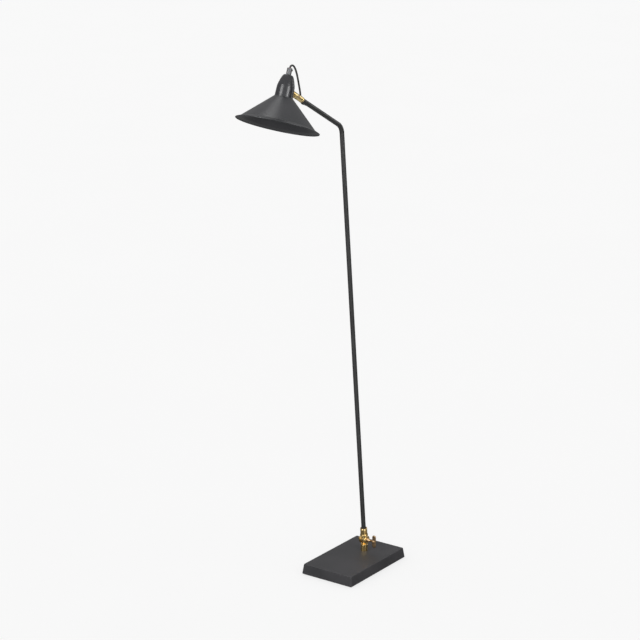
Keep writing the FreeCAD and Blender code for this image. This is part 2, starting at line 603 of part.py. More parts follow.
# ---- cord ----
def cord_path(route):
    """Straight runs joined by arcs as large as the runs allow; returns the wire and the arc radii."""
    edges = []
    radii = []
    last = route[0]
    for before, corner, after in zip(route, route[1:], route[2:]):
        incoming = (corner - before).normalize()
        outgoing = (after - corner).normalize()
        half_turn = incoming.getAngle(outgoing) / 2
        reach = 0.45 * min((corner - before).Length, (after - corner).Length)
        radius = reach / math.tan(half_turn)
        inward = (outgoing - incoming).normalize()
        middle = corner + inward * (radius / math.cos(half_turn) - radius)
        start = corner - incoming * reach
        end = corner + outgoing * reach
        edges.append(Part.LineSegment(last, start).toShape())
        edges.append(Part.Arc(start, middle, end).toShape())
        radii.append(radius)
        last = end
    edges.append(Part.LineSegment(last, route[-1]).toShape())
    return Part.Wire(edges), radii


def head_cord():
    path, radii = cord_path(CORD_ROUTE)
    first = (CORD_ROUTE[1] - CORD_ROUTE[0]).normalize()
    ring = Part.Wire([Part.Circle(CORD_ROUTE[0], first, CORD_R).toShape()])
    cord = path.makePipeShell([ring], True, False)
    expected = math.pi * CORD_R ** 2 * path.Length
    print("cord length %.1f, volume over expected %.4f" % (path.Length, cord.Volume / expected))
    print("cord radii", [round(radius, 1) for radius in radii])
    return cord


NODES = {
    "base_casting": base_casting, "base_cover": base_cover, "cover_screws": cover_screws,
    "floor_pad": floor_pad, "inlet_bush": inlet_bush, "stem_nipple": stem_nipple,
    "stem_washer": stem_washer, "stem_nut": stem_nut, "column": column, "fork": fork,
    "cap_nut": cap_nut, "key_washer": key_washer, "wing_key": wing_key,
    "pole_ferrule": pole_ferrule, "ferrule_screw": ferrule_screw, "pole_ring": pole_ring,
    "pole_tube": pole_tube, "arm_grommet": arm_grommet, "arm_ring": arm_ring,
    "arm_ferrule": arm_ferrule, "hinge_screw": hinge_screw, "head_lug": head_lug,
    "lug_screw": lug_screw, "socket_cap": socket_cap, "shade": shade, "lampholder": lampholder,
    "shade_ring": shade_ring, "screw_shell": screw_shell, "centre_contact": centre_contact,
    "cap_nipple": cap_nipple, "nipple_nut": nipple_nut, "strain_relief": strain_relief,
    "relief_screw": relief_screw, "bulb_cap": bulb_cap, "bulb_globe": bulb_globe,
    "head_cord": head_cord,
}

os.makedirs("parts", exist_ok=True)
print("lower pivot", LOW_PIVOT, "upper pivot", TIP_PIVOT)
for name, make in NODES.items():
    shape = make()
    if not shape.isValid():
        print("not valid:", name)
    shape.exportStep("parts/" + name + ".step")
    print("%-15s solids %d  volume %.0f" % (name, len(shape.Solids), shape.Volume))
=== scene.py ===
"""Looks of the adjustable arm floor lamp: detailed meshes, materials, light and camera.

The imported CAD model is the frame. Lengths here are in metres, and small sizes are written as millimetres
times MM. Places come from the CAD nodes and joints.
"""
import bpy
import bmesh
import json
import math
from mathutils import Matrix, Vector


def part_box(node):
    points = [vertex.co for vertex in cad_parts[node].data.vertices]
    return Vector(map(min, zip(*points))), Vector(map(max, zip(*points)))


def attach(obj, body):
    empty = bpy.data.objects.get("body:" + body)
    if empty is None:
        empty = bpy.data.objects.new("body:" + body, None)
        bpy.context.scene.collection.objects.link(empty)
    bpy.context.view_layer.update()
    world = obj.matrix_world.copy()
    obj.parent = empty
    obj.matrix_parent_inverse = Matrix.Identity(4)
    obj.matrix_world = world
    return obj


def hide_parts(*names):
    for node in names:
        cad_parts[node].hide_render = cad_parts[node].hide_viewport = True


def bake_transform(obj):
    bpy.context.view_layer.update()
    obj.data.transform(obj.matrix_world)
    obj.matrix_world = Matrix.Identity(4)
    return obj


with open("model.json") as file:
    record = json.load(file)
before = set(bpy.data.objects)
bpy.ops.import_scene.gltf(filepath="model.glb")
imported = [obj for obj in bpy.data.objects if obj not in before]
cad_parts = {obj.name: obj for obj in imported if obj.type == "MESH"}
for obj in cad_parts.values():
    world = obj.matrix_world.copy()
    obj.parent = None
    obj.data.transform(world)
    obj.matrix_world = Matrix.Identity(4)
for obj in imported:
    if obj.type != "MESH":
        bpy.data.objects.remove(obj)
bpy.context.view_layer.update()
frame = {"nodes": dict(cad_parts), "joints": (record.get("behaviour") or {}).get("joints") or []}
NODES = frame["nodes"]
JOINTS = {joint["name"]: joint for joint in frame["joints"]}
MM = 0.001
X_AXIS = Vector((1, 0, 0))
Y_AXIS = Vector((0, 1, 0))
Z_AXIS = Vector((0, 0, 1))


# ---------------------------------------------------------------- places read from the frame
def middle(node):
    low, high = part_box(node)
    return (low + high) / 2


def crossing(point_a, dir_a, point_b, dir_b):
    """Where two lines in a plane of constant X meet."""
    gap = point_b - point_a
    scale = dir_a.y * dir_b.z - dir_a.z * dir_b.y
    return point_a + dir_a * ((gap.y * dir_b.z - gap.z * dir_b.y) / scale)


LOW_PIVOT = Vector(JOINTS["pole_tilt"]["pos_m"])
TIP_PIVOT = Vector(JOINTS["head_tilt"]["pos_m"])
POLE_DIR = (middle("pole_ring") - LOW_PIVOT).normalized()
ARM_DIR = (TIP_PIVOT - middle("arm_ring")).normalized()
BEND = crossing(LOW_PIVOT, POLE_DIR, TIP_PIVOT, ARM_DIR)
HEAD_DIR = (middle("cap_nipple") - middle("screw_shell")).normalized()
SHELL_MID_S = 78.7 * MM             # the screw shell's middle, measured up the head's axis from the rim
RIM_CENTRE = middle("screw_shell") - HEAD_DIR * SHELL_MID_S
COLUMN_FOOT = Vector((0, LOW_PIVOT.y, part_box("column")[0].z))
COVER_SCREW_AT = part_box("cover_screws")[1] - Vector((4.1, 4.1, 0)) * MM     # centre of the screw at +X +Y

TUBE_R = 6.35 * MM
TIP_R = 7.85 * MM
TIP_RING_T = 2.0 * MM
LAP_CLEAR_R = 8.3 * MM
LAP_GAP = 0.2 * MM
KNUCKLE_R = 12.0 * MM
SLOT_HALF = 4.7 * MM
TONGUE_HALF = 4.5 * MM
TONGUE_R = 9.5 * MM
TONGUE_CLEAR_R = 9.9 * MM
BOLT_HOLE_R = 3.3 * MM
BUSH_HOLE_R = 4.47 * MM
PAD_HOLE_R = 5.5 * MM
SCREW_HEAD_R = 4.3 * MM             # with its clearance, in the upper hinge
SCREW_HEAD_DEEP = 2.4 * MM
ARM_RING_AT = (TIP_PIVOT - middle("arm_ring")).length + TIP_RING_T / 2      # pivot back to the sleeve's edge
PIVOT_TO_AXIS = 53.6 * MM


# ---------------------------------------------------------------- material helpers
class Paint:
    """A node material with short calls for the nodes used here."""

    def __init__(self, name):
        self.material = bpy.data.materials.new(name)
        self.material.use_nodes = True
        self.nodes = self.material.node_tree.nodes
        self.links = self.material.node_tree.links
        self.shader = self.nodes["Principled BSDF"]
        self.place = self.nodes.new("ShaderNodeTexCoord").outputs["Object"]

    def link(self, source, target):
        self.links.new(source, target)

    def fixed(self, **values):
        """Values that are the same all over: set on the shader's own sockets."""
        for key, value in values.items():
            self.shader.inputs[key.replace("_", " ")].default_value = value

    def stretched(self, scale):
        node = self.nodes.new("ShaderNodeMapping")
        node.inputs["Scale"].default_value = scale
        self.link(self.place, node.inputs["Vector"])
        return node.outputs["Vector"]

    def along(self, base, axis):
        """Distance along an axis, as a vector for a texture: lines run round the axis."""
        shift = self.nodes.new("ShaderNodeVectorMath")
        shift.operation = "SUBTRACT"
        self.link(self.place, shift.inputs[0])
        shift.inputs[1].default_value = base
        dot = self.nodes.new("ShaderNodeVectorMath")
        dot.operation = "DOT_PRODUCT"
        self.link(shift.outputs["Vector"], dot.inputs[0])
        dot.inputs[1].default_value = axis
        join = self.nodes.new("ShaderNodeCombineXYZ")
        self.link(dot.outputs["Value"], join.inputs["X"])
        return join.outputs["Vector"]

    def noise(self, scale, detail=4.0, rough=0.55, vector=None):
        node = self.nodes.new("ShaderNodeTexNoise")
        node.inputs["Scale"].default_value = scale
        node.inputs["Detail"].default_value = detail
        node.inputs["Roughness"].default_value = rough
        self.link(vector or self.place, node.inputs["Vector"])
        return node.outputs["Fac"]

    def edges(self, start, end):
        """White on outer edges."""
        geometry = self.nodes.new("ShaderNodeNewGeometry")
        return self.span(geometry.outputs["Pointiness"], start, end, 0.0, 1.0)

    def span(self, value, from_low, from_high, to_low, to_high):
        node = self.nodes.new("ShaderNodeMapRange")
        self.link(value, node.inputs["Value"])
        for key, number in (("From Min", from_low), ("From Max", from_high),
                            ("To Min", to_low), ("To Max", to_high)):
            node.inputs[key].default_value = number
        return node.outputs["Result"]

    def math(self, operation, first, second):
        node = self.nodes.new("ShaderNodeMath")
        node.operation = operation
        for socket, value in zip(node.inputs, (first, second)):
            if isinstance(value, (int, float)):
                socket.default_value = value
            else:
                self.link(value, socket)
        return node.outputs["Value"]

    def blend(self, factor, first, second):
        node = self.nodes.new("ShaderNodeMix")
        node.data_type = "RGBA"
        self.link(factor, node.inputs["Factor"])
        for socket, value in ((node.inputs[6], first), (node.inputs[7], second)):
            if isinstance(value, tuple):
                socket.default_value = (*value, 1.0)
            else:
                self.link(value, socket)
        return node.outputs[2]

    def colour(self, source):
        self.link(source, self.shader.inputs["Base Color"])

    def roughness(self, source):
        self.link(source, self.shader.inputs["Roughness"])

    def bump(self, layers):
        """Stack (height, distance, strength) layers."""
        normal = None
        for height, distance, strength in layers:
            node = self.nodes.new("ShaderNodeBump")
            node.inputs["Distance"].default_value = distance
            node.inputs["Strength"].default_value = strength
            self.link(height, node.inputs["Height"])
            if normal:
                self.link(normal, node.inputs["Normal"])
            normal = node.outputs["Normal"]
        self.link(normal, self.shader.inputs["Normal"])


# ---------------------------------------------------------------- materials
def black_paint(name, dark, light, rough_low, rough_high, peel, coat=0.0, specular=0.5, lines=None):
    """Black finish: slow tone changes, orange peel, dust and rubbed edges; lines is (base, axis)."""
    paint = Paint(name)
    cloud = paint.noise(9.0, 5.0)
    fine = paint.noise(900.0, 3.0, 0.6)
    tone = paint.blend(paint.span(cloud, 0.35, 0.65, 0.0, 1.0), dark, light)
    speck = paint.span(paint.noise(2600.0, 1.0), 0.72, 0.80, 0.0, 0.5)
    tone = paint.blend(speck, tone, tuple(4.0 * c for c in light))
    patchy = paint.edges(0.52, 0.60), paint.span(paint.noise(60.0), 0.45, 0.7, 0.0, 0.55)
    worn = paint.math("MULTIPLY", *patchy)
    paint.colour(paint.blend(worn, tone, (0.11, 0.105, 0.10)))
    smear = paint.math("ADD", paint.span(cloud, 0.3, 0.7, rough_low, rough_high),
                       paint.span(fine, 0.3, 0.7, -0.025, 0.025))
    paint.roughness(smear)
    layers = [(paint.noise(peel, 2.0), 0.00012, 0.20), (fine, 0.00002, 0.25)]
    if lines:
        turning = paint.noise(1500.0, 3.0, 0.7, paint.along(*lines))
        layers.append((turning, 0.00006, 0.35))
    paint.bump(layers)
    paint.fixed(Coat_Weight=coat, Coat_Roughness=0.12, Specular_IOR_Level=specular)
    return paint.material


def brass(name, deep, bright, rough_low, rough_high, base, axis):
    """Turned brass: fine lines round the axis, finger marks and slow tarnish."""
    paint = Paint(name)
    cloud = paint.noise(70.0, 5.0, 0.6)
    smudge = paint.noise(240.0, 4.0, 0.6)
    lines = paint.noise(5200.0, 3.0, 0.7, paint.along(base, axis))
    tone = paint.blend(paint.span(cloud, 0.32, 0.68, 0.0, 1.0), deep, bright)
    tarnish = paint.span(smudge, 0.56, 0.76, 0.0, 0.35)
    tone = paint.blend(tarnish, tone, tuple(0.70 * c for c in deep))
    paint.colour(paint.blend(paint.edges(0.51, 0.58), tone, tuple(min(1.0, 1.15 * c) for c in bright)))
    rough = paint.math("ADD", paint.span(smudge, 0.35, 0.7, rough_low, rough_high),
                       paint.span(lines, 0.3, 0.7, -0.03, 0.04))
    paint.roughness(rough)
    paint.bump([(lines, 0.00003, 0.35), (smudge, 0.00003, 0.15)])
    paint.fixed(Metallic=1.0)
    return paint.material


def plated(name, dark, light, rough):
    """Zinc or pressed metal: grained, a little cloudy."""
    paint = Paint(name)
    cloud = paint.noise(160.0, 4.0)
    grain = paint.noise(2400.0, 2.0, 0.6, paint.stretched((1.0, 0.2, 1.0)))
    paint.colour(paint.blend(paint.span(cloud, 0.35, 0.65, 0.0, 1.0), dark, light))
    paint.roughness(paint.span(grain, 0.3, 0.7, rough - 0.06, rough + 0.08))
    paint.bump([(grain, 0.00002, 0.3)])
    paint.fixed(Metallic=1.0)
    return paint.material


def moulded(name, dark, light, rough, grain_scale, grain_depth, **values):
    """Moulded plastic or rubber with a fine grain and paler rubbed edges."""
    paint = Paint(name)
    cloud = paint.noise(120.0, 4.0)
    grain = paint.noise(grain_scale, 3.0, 0.6)
    tone = paint.blend(paint.span(cloud, 0.35, 0.65, 0.0, 1.0), dark, light)
    paint.colour(paint.blend(paint.edges(0.54, 0.66), tone, tuple(min(1.0, 1.5 * c + 0.02) for c in light)))
    paint.roughness(paint.span(grain, 0.3, 0.7, rough - 0.07, rough + 0.08))
    paint.bump([(grain, grain_depth, 0.4)])
    paint.fixed(**values)
    return paint.material


def pressed_felt():
    paint = Paint("pressed_felt")
    fibres = paint.noise(1800.0, 6.0, 0.75)
    lay = paint.noise(420.0, 4.0, 0.6, paint.stretched((1.0, 3.0, 1.0)))
    tone = paint.span(fibres, 0.35, 0.7, 0.0, 1.0)
    paint.colour(paint.blend(tone, (0.012, 0.012, 0.013), (0.05, 0.05, 0.052)))
    paint.roughness(paint.span(lay, 0.3, 0.7, 0.86, 1.0))
    paint.bump([(fibres, 0.0004, 0.8), (lay, 0.0003, 0.5)])
    paint.fixed(Sheen_Weight=0.4)
    return paint.material


def opal_glass():
    paint = Paint("opal_glass")
    cloud = paint.noise(45.0, 3.0)
    paint.colour(paint.blend(paint.span(cloud, 0.3, 0.7, 0.0, 1.0), (0.80, 0.78, 0.73), (0.90, 0.89, 0.86)))
    paint.roughness(paint.span(paint.noise(300.0, 3.0), 0.3, 0.7, 0.10, 0.18))
    paint.bump([(paint.noise(90.0, 2.0), 0.00005, 0.1)])
    paint.fixed(Subsurface_Weight=0.35, Subsurface_Scale=0.006, Coat_Weight=0.6, Coat_Roughness=0.05)
    return paint.material


MATERIALS = {
    "base_paint": black_paint("base_paint", (0.025, 0.025, 0.027), (0.037, 0.036, 0.039), 0.48, 0.58, 240.0,
                              specular=0.3),
    "tube_paint": black_paint("tube_paint", (0.014, 0.014, 0.014), (0.024, 0.024, 0.024), 0.32, 0.44, 420.0),
    "shade_enamel": black_paint("shade_enamel", (0.012, 0.013, 0.015), (0.020, 0.020, 0.023), 0.30, 0.38,
                                300.0, lines=(RIM_CENTRE, HEAD_DIR)),
    "gloss_black": black_paint("gloss_black", (0.007, 0.007, 0.009), (0.013, 0.013, 0.016), 0.27, 0.34, 260.0,
                               coat=0.2, lines=(RIM_CENTRE, HEAD_DIR)),
    "column_brass": brass("column_brass", (0.62, 0.40, 0.12), (0.90, 0.69, 0.34), 0.16, 0.28,
                          LOW_PIVOT, Z_AXIS),
    "pole_brass": brass("pole_brass", (0.62, 0.40, 0.13), (0.88, 0.68, 0.34), 0.17, 0.29,
                        LOW_PIVOT, POLE_DIR),
    "arm_brass": brass("arm_brass", (0.60, 0.39, 0.12), (0.88, 0.69, 0.34), 0.16, 0.28, TIP_PIVOT, ARM_DIR),
    "aged_brass": brass("aged_brass", (0.30, 0.19, 0.10), (0.50, 0.35, 0.20), 0.28, 0.42, LOW_PIVOT, X_AXIS),
    "zinc_steel": plated("zinc_steel", (0.42, 0.42, 0.42), (0.62, 0.61, 0.60), 0.32),
    "shell_metal": plated("shell_metal", (0.60, 0.59, 0.56), (0.80, 0.79, 0.76), 0.28),
    "dark_steel": plated("dark_steel", (0.09, 0.09, 0.09), (0.17, 0.17, 0.165), 0.36),
    # Rings where the black tube meets the brass: their dark brown is painted shade, standing in for a brass
    # ring in shadow.
    "dark_ring": moulded("dark_ring", (0.020, 0.013, 0.009), (0.045, 0.032, 0.022), 0.55, 2200.0, 0.00003),
    "black_nylon": moulded("black_nylon", (0.015, 0.015, 0.015), (0.03, 0.03, 0.03), 0.45, 1800.0, 0.00003),
    "grey_rubber": moulded("grey_rubber", (0.40, 0.40, 0.40), (0.55, 0.55, 0.54), 0.55, 1600.0, 0.00004),
    "phenolic": moulded("phenolic", (0.010, 0.009, 0.008), (0.020, 0.017, 0.015), 0.26, 700.0, 0.00002),
    "smoke_nylon": moulded("smoke_nylon", (0.060, 0.060, 0.063), (0.105, 0.105, 0.110), 0.40, 1200.0, 0.00001,
                           Subsurface_Weight=0.15, Subsurface_Scale=0.003, Coat_Weight=0.15),
    "cord_jacket": moulded("cord_jacket", (0.012, 0.012, 0.012), (0.028, 0.028, 0.028), 0.50, 2600.0,
                           0.00004),
    "felt": pressed_felt(),
    "opal_glass": opal_glass(),
}


# ---------------------------------------------------------------- mesh helpers
def upright_to(axis):
    """Rotation that lays local Z along an axis."""
    return Z_AXIS.rotation_difference(axis).to_matrix()


def add_piece(name, points, faces, body, material, slot, replaces=()):
    """Make a piece of the object from points in the row frame."""
    mesh = bpy.data.meshes.new(name)
    mesh.from_pydata([tuple(p) for p in points], [], faces)
    mesh.validate()
    cleaner = bmesh.new()
    cleaner.from_mesh(mesh)
    bmesh.ops.remove_doubles(cleaner, verts=cleaner.verts, dist=1e-6)
    bmesh.ops.recalc_face_normals(cleaner, faces=cleaner.faces)
    cleaner.to_mesh(mesh)
    cleaner.free()
    mesh.polygons.foreach_set("use_smooth", [True] * len(mesh.polygons))
    piece = bpy.data.objects.new(name, mesh)
    bpy.context.scene.collection.objects.link(piece)
    mesh.materials.append(MATERIALS[material])
    piece.modifiers.new("weighted", "WEIGHTED_NORMAL").weight = 80
    if body:
        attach(piece, body)
    if replaces:
        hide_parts(*replaces)
    return piece


def rounded(points, radii, steps=5):
    """Round the corners of an open or closed outline; radii has one value for each point, 0 for sharp."""
    result = []
    count = len(points)
    for k, (point, radius) in enumerate(zip(points, radii)):
        here = Vector((*point, 0))
        before = Vector((*points[k - 1], 0))
        after = Vector((*points[(k + 1) % count], 0))
        to_before, to_after = before - here, after - here
        if radius <= 0 or to_before.length < 1e-9 or to_after.length < 1e-9:
            result.append((here.x, here.y))
            continue
        half = to_before.angle(to_after) / 2
        reach = min(radius / math.tan(half), 0.49 * to_before.length, 0.49 * to_after.length)
        radius = reach * math.tan(half)
        start = here + to_before.normalized() * reach
        end = here + to_after.normalized() * reach
        inward = (to_before.normalized() + to_after.normalized()).normalized()
        centre = here + inward * (radius / math.sin(half))
        first, last = start - centre, end - centre
        sweep = first.angle(last)
        turn = 1.0 if first.cross(last).z > 0 else -1.0
        for j in range(steps + 1):
            spoke = Matrix.Rotation(turn * sweep * j / steps, 3, "Z") @ first
            result.append((centre.x + spoke.x, centre.y + spoke.y))
    return result


def profile(*corners, steps=5):
    """A closed outline from corners in millimetres: (radius, height, rounding).

    A solid bar's outline starts and ends 0.2 mm from its axis.
    """
    return rounded([(radius * MM, height * MM) for radius, height, rounding in corners],
                   [rounding * MM for radius, height, rounding in corners], steps)


def lathe(name, outline, base, axis, body, material, slot, segments=96, replaces=()):
    """Turn a closed outline of (radius, height) about an axis, into a solid ring or bar."""
    turned = upright_to(axis)
    points, faces = [], []
    rows = len(outline)
    for radius, height in outline:
        for k in range(segments):
            angle = 2 * math.pi * k / segments
            local = Vector((radius * math.cos(angle), radius * math.sin(angle), height))
            points.append(base + turned @ local)
    for row in range(rows):
        nxt = (row + 1) % rows
        for k in range(segments):
            k2 = (k + 1) % segments
            faces.append((row * segments + k, row * segments + k2, nxt * segments + k2, nxt * segments + k))
    return add_piece(name, points, faces, body, material, slot, replaces)


def sweep(name, path, radius, sides, body, material, slot, replaces=()):
    """A round tube along a path, closed at both ends, with a frame that doesn't twist."""
    rings = []
    tangents = []
    for k in range(len(path)):
        ahead = path[min(k + 1, len(path) - 1)]
        behind = path[max(k - 1, 0)]
        tangents.append((ahead - behind).normalized())
    normal = tangents[0].orthogonal().normalized()
    for k, centre in enumerate(path):
        if k:
            normal = tangents[k - 1].rotation_difference(tangents[k]) @ normal
        side = tangents[k].cross(normal)
        ring = []
        for j in range(sides):
            angle = 2 * math.pi * j / sides
            ring.append(centre + (normal * math.cos(angle) + side * math.sin(angle)) * radius)
        rings.append(ring)
    return add_piece(name, *skin_of(rings), body, material, slot, replaces)


def rounded_rectangle(half_x, half_y, radius, z, steps=8):
    corners = [(-half_x, -half_y), (half_x, -half_y), (half_x, half_y), (-half_x, half_y)]
    return [Vector((x, y, z)) for x, y in rounded(corners, [radius] * 4, steps)]


def skin_of(rings):
    """Points and faces of a closed skin through rings of the same number of points."""
    points = [p for ring in rings for p in ring]
    count = len(rings[0])
    faces = []
    for row in range(len(rings) - 1):
        for k in range(count):
            k2 = (k + 1) % count
            faces.append((row * count + k, row * count + k2, (row + 1) * count + k2, (row + 1) * count + k))
    faces.append(tuple(range(count)))
    faces.append(tuple(range((len(rings) - 1) * count, len(rings) * count)))
    return points, faces


def bar_mesh(start, axis, radius, length, sides=96):
    """A plain round bar as points and faces, for cutting."""
    turned = upright_to(axis)
    spokes = [2 * math.pi * k / sides for k in range(sides)]
    return skin_of([[start + turned @ Vector((radius * math.cos(angle), radius * math.sin(angle), height))
                     for angle in spokes] for height in (0.0, length)])


def loft(name, rings, body, material, slot, replaces=(), turned=None, base=None):
    """A closed skin through rings of the same number of points."""
    points, faces = skin_of(rings)
    if turned is not None:
        points = [base + turned @ p for p in points]
    return add_piece(name, points, faces, body, material, slot, replaces)


def cut_away(piece, cutter_points, cutter_faces):
    """Take a closed form out of a piece for good."""
    mesh = bpy.data.meshes.new("cutter")
    mesh.from_pydata([tuple(p) for p in cutter_points], [], cutter_faces)
    cleaner = bmesh.new()
    cleaner.from_mesh(mesh)
    bmesh.ops.recalc_face_normals(cleaner, faces=cleaner.faces)
    cleaner.to_mesh(mesh)
    cleaner.free()
    cutter = bpy.data.objects.new("cutter", mesh)
    bpy.context.scene.collection.objects.link(cutter)
    modifier = piece.modifiers.new("cut", "BOOLEAN")
    modifier.operation = "DIFFERENCE"
    modifier.object = cutter
    modifier.solver = "EXACT"
    for other in [m for m in piece.modifiers if m != modifier]:
        other.show_viewport = False
    bpy.context.view_layer.update()
    evaluated = piece.evaluated_get(bpy.context.evaluated_depsgraph_get())
    result = bpy.data.meshes.new_from_object(evaluated)
    piece.modifiers.remove(modifier)
    for other in piece.modifiers:
        other.show_viewport = True
    piece.data = result
    bpy.data.objects.remove(cutter)


# ---------------------------------------------------------------- base
def base_pieces():
    low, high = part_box("base_casting")
    half_x, half_y = (high.x - low.x) / 2, (high.y - low.y) / 2
    draft, corner, edge = 3.5 * MM, 3.0 * MM, 1.2 * MM
    height = high.z - low.z
    rings = []
    steps = 6
    foot = 0.6 * MM
    for k in range(steps + 1):
        angle = math.pi / 2 * k / steps
        inset = foot * (1 - math.sin(angle))
        rings.append((inset, low.z + foot * (1 - math.cos(angle))))
    for share in (0.2, 0.5, 0.8):
        rings.append((draft * share, low.z + height * share))
    for k in range(steps + 1):
        angle = math.pi / 2 * k / steps
        inset = draft + edge * (1 - math.cos(angle))
        rings.append((inset, high.z - edge * (1 - math.sin(angle))))
    for inset in (4.0 * MM, 9.0 * MM):
        rings.append((draft + edge + inset, high.z))
    loops = [rounded_rectangle(half_x - inset, half_y - inset, corner, z) for inset, z in rings]
    block = loft("base_block", loops, "base", "base_paint", "base_paint", ["base_casting"])
    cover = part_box("base_cover")[1]
    recess = [rounded_rectangle(cover.x + 0.5 * MM, cover.y + 0.5 * MM, 4.0 * MM, z)
              for z in (low.z - 1.0 * MM, cover.z + 0.05 * MM)]
    cut_away(block, *skin_of(recess))
    bush_start = Vector((0, high.y - 30 * MM, middle("inlet_bush").z))
    cut_away(block, *bar_mesh(bush_start, Y_AXIS, BUSH_HOLE_R, 40 * MM))

    low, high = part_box("floor_pad")
    half_x, half_y = high.x, high.y
    loops = [rounded_rectangle(half_x - inset, half_y - inset, 2.5 * MM, z)
             for inset, z in ((0.5 * MM, low.z), (0.0, low.z + 0.5 * MM), (0.1 * MM, high.z - 0.3 * MM),
                              (0.6 * MM, high.z))]
    sheet = loft("felt_sheet", loops, "base", "felt", "felt", ["floor_pad"])
    for sx in (-1, 1):
        for sy in (-1, 1):
            hole = Vector((sx * COVER_SCREW_AT.x, sy * COVER_SCREW_AT.y, -5 * MM))
            cut_away(sheet, *bar_mesh(hole, Z_AXIS, PAD_HOLE_R, 10 * MM))


def column_and_fork():
    foot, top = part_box("column")
    height = top.z - foot.z
    radius = (top.x - foot.x) / 2
    outline = rounded([(0.2 * MM, 0), (radius, 0), (radius, height), (0.2 * MM, height)],
                      [0, 0.3 * MM, 0.8 * MM, 0])
    lathe("column_post", outline, COLUMN_FOOT, Z_AXIS, "base", "column_brass", "lacquered_brass",
          replaces=["column"])
    neck_top = LOW_PIVOT.z - 9.4 * MM - top.z
    outline = rounded([(0.2 * MM, -0.5 * MM), (6.0 * MM, -0.5 * MM), (6.0 * MM, 2.0 * MM),
                       (8.6 * MM, neck_top), (0.2 * MM, neck_top)], [0, 0, 1.2 * MM, 0.6 * MM, 0])
    neck = lathe("fork_neck", outline, Vector((0, LOW_PIVOT.y, top.z)), Z_AXIS, "base", "column_brass",
                 "lacquered_brass", replaces=["fork"])
    cut_away(neck, *bar_mesh(LOW_PIVOT - X_AXIS * 20 * MM, X_AXIS, TONGUE_CLEAR_R, 40 * MM))
    half = (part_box("fork")[1].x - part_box("fork")[0].x) / 2
    for name, side in (("fork_ear_near", 1), ("fork_ear_far", -1)):
        outline = rounded([(BOLT_HOLE_R, SLOT_HALF), (KNUCKLE_R, SLOT_HALF), (KNUCKLE_R, half),
                           (BOLT_HOLE_R, half)], [0, 0.35 * MM, 1.7 * MM, 0])
        lathe(name, outline, LOW_PIVOT, X_AXIS * side, "base", "column_brass", "lacquered_brass")


def clamp_pieces():
    """Cap nut, washer and the wing key."""
    face = LOW_PIVOT - X_AXIS * 11 * MM
    outline = profile((3.2, 0, 0.1), (5.6, 0, 0.2), (5.6, 3.2, 0.8), (4.9, 5.6, 1.5), (2.8, 8.0, 1.6),
                      (0.2, 8.6, 0), (0.2, 4.7, 0), (3.2, 4.7, 0))
    lathe("cap_nut_turned", outline, face, -X_AXIS, "base", "aged_brass", "aged_brass", replaces=["cap_nut"])
    outline = profile((3.2, 0, 0.1), (6.4, 0, 0.4), (6.4, 1.3, 0.4), (3.2, 1.3, 0.1))
    lathe("washer_ring", outline, LOW_PIVOT + X_AXIS * 11 * MM, X_AXIS, "base", "aged_brass", "aged_brass",
          replaces=["key_washer"])
    outline = profile((0.2, -15, 0), (3.0, -15, 0.4), (3.0, 12.6, 0.1), (6.0, 12.6, 0.3), (6.0, 14.8, 0.7),
                      (3.9, 16.8, 1.2), (3.2, 22, 3), (3.3, 25, 3), (4.2, 29, 1.5), (4.2, 37, 2.0),
                      (0.2, 37, 0))
    lathe("key_stem", outline, LOW_PIVOT, X_AXIS, "key", "aged_brass", "aged_brass", replaces=["wing_key"])
    low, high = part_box("wing_key")
    wing_len, wing_half = 12.0 * MM, (high.z - low.z) / 2
    centre = Vector((high.x - wing_len / 2, LOW_PIVOT.y, LOW_PIVOT.z))
    rings = []
    thick, crown, rows = 2.0 * MM, 0.7 * MM, 14
    for k in range(rows + 1):
        angle = math.pi * k / rows - math.pi / 2
        depth = thick * math.sin(angle)
        inset = crown * 2.4 * (1 - math.cos(angle)) ** 1.6
        rings.append((inset, depth))
    loops = []
    for inset, depth in rings:
        corners = [(-wing_len / 2, -wing_half), (wing_len / 2, -wing_half), (wing_len / 2, wing_half),
                   (-wing_len / 2, wing_half)]
        shape = rounded(corners, [5.4 * MM] * 4, 10)
        loop = []
        for x, z in shape:
            shrink_x = 1 - inset / (wing_len / 2)
            shrink_z = 1 - inset / wing_half
            waist = 1 - 0.10 * math.cos(math.pi / 2 * min(1.0, abs(z) / wing_half))
            loop.append(centre + Vector((x * shrink_x * waist, depth, z * shrink_z)))
        loops.append(loop)
    loft("key_wing", loops, "key", "aged_brass", "aged_brass")


def pole_socket():
    """Tongue, web and turned sleeve at the pole's foot."""
    outline = rounded([(BOLT_HOLE_R, -TONGUE_HALF), (TONGUE_R, -TONGUE_HALF), (TONGUE_R, TONGUE_HALF),
                       (BOLT_HOLE_R, TONGUE_HALF)], [0.1 * MM, 0.5 * MM, 0.5 * MM, 0.1 * MM])
    lathe("pole_tongue", outline, LOW_PIVOT, X_AXIS, "arm", "pole_brass", "lacquered_brass",
          replaces=["pole_ferrule"])
    turned = upright_to(POLE_DIR)
    loops = [rounded_rectangle(TONGUE_HALF, 7.5 * MM, 0.5 * MM, z) for z in (4.0 * MM, 8.0 * MM, 13.2 * MM)]
    loft("pole_web", loops, "arm", "pole_brass", "lacquered_brass", turned=turned, base=LOW_PIVOT)
    outline = profile((6.4, 12.4, 0), (11.4, 12.4, 1.0), (11.4, 15.0, 0.8), (10.9, 16.2, 0.6),
                      (10.0, 18.6, 1.5), (10.0, 33.4, 0.2), (9.5, 34.0, 0.2), (10.0, 34.6, 0.2),
                      (10.0, 36.0, 0.6), (6.4, 36.0, 0.2))
    lathe("pole_sleeve", outline, LOW_PIVOT, POLE_DIR, "arm", "pole_brass", "lacquered_brass", segments=128)
    # The ring at the tube's foot is painted dark brown: painted shade where the tube goes into the brass
    # sleeve.
    outline = profile((6.36, 36.0, 0), (8.0, 36.0, 0.5), (8.0, 38.2, 0.8), (6.36, 38.2, 0))
    lathe("pole_foot_ring", outline, LOW_PIVOT, POLE_DIR, "arm", "dark_ring", "dark_ring",
          replaces=["pole_ring"])


